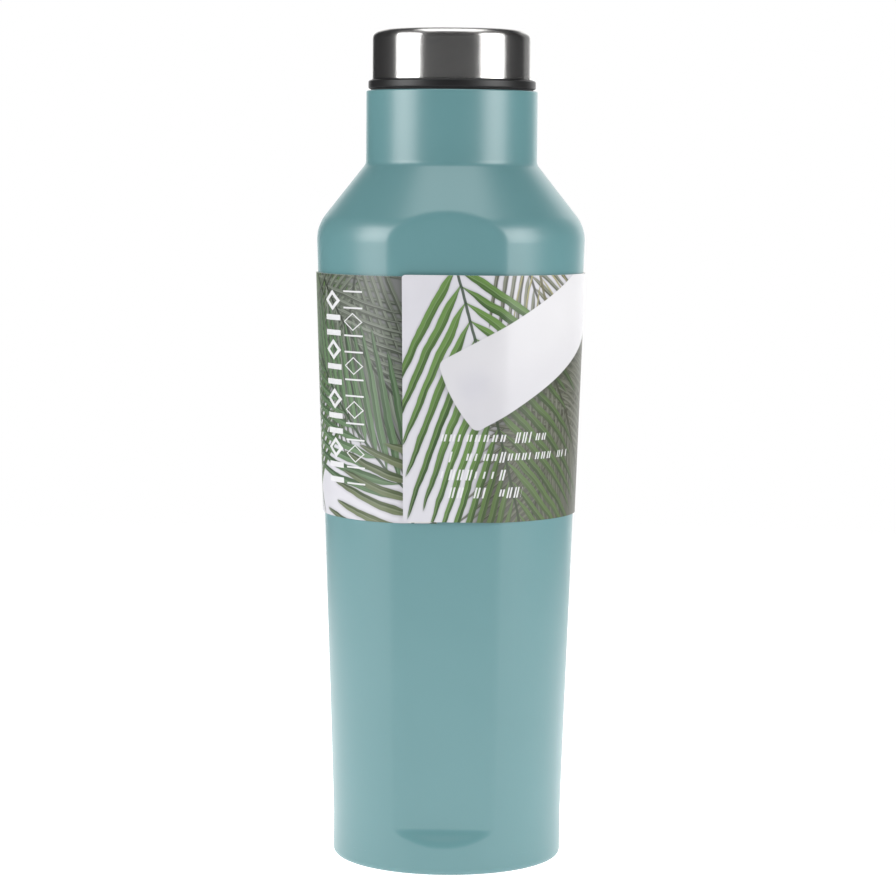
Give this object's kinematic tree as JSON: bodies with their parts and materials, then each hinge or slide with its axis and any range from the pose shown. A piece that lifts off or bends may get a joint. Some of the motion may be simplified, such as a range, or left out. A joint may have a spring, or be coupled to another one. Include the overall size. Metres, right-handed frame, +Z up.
{
  "type": "vacuum water bottle",
  "caption": "Steel vacuum bottle with flat grip sides, a sloping shoulder, a narrow threaded neck, a brushed screw cap and a printed card sleeve.",
  "frame": {"origin": "centre of the foot ring, on the surface the bottle stands on", "axes": "+Z up along the bottle's axis, -Y towards the front flat"},
  "size_m": [0.0758, 0.0733, 0.233],
  "materials": {
    "teal_paint": "satin metallic teal enamel",
    "cap_steel": "fine brushing around the axis",
    "flask_steel": "plain drawn and electropolished",
    "copper": "plain copper plating",
    "braze": "dull",
    "getter": "sintered",
    "printed_card": "coated card with a printed palm-leaf pattern",
    "glue": "clear hot-melt",
    "silicone": "plain dark grey",
    "black_plastic": "fine moulded satin",
    "foam": "closed-cell foam"
  },
  "bodies": {
    "bottle": {"outer_shell": "teal_paint", "outer_base": "teal_paint", "base_cover": "teal_paint", "evac_bead": "braze", "getter_pill": "getter", "getter_clip": "flask_steel", "flask_wall": "flask_steel", "flask_bottom": "flask_steel", "copper_layer": "copper", "sleeve_card": "printed_card", "sleeve_glue": "glue"},
    "seal": {"neck_seal": "silicone"},
    "cap": {"cap_core": "black_plastic", "cap_shell": "cap_steel", "cap_glue": "glue", "cap_foam": "foam", "plug_cover": "black_plastic"}
  },
  "joints": [
    {"name": "cap_lift", "type": "slide", "parent": "bottle", "child": "seal", "axis": [0, 0, 1], "range_m": [0, 0.02]},
    {"name": "cap_turn", "type": "hinge", "parent": "seal", "child": "cap", "pos_m": [0, 0, 0.2167], "axis": [0, 0, 1], "range_deg": [0, 1800.1]}
  ],
  "couplings": [
    {"joint": "cap_turn", "follows": "cap_lift", "rad_per_m": 1570.8}
  ]
}
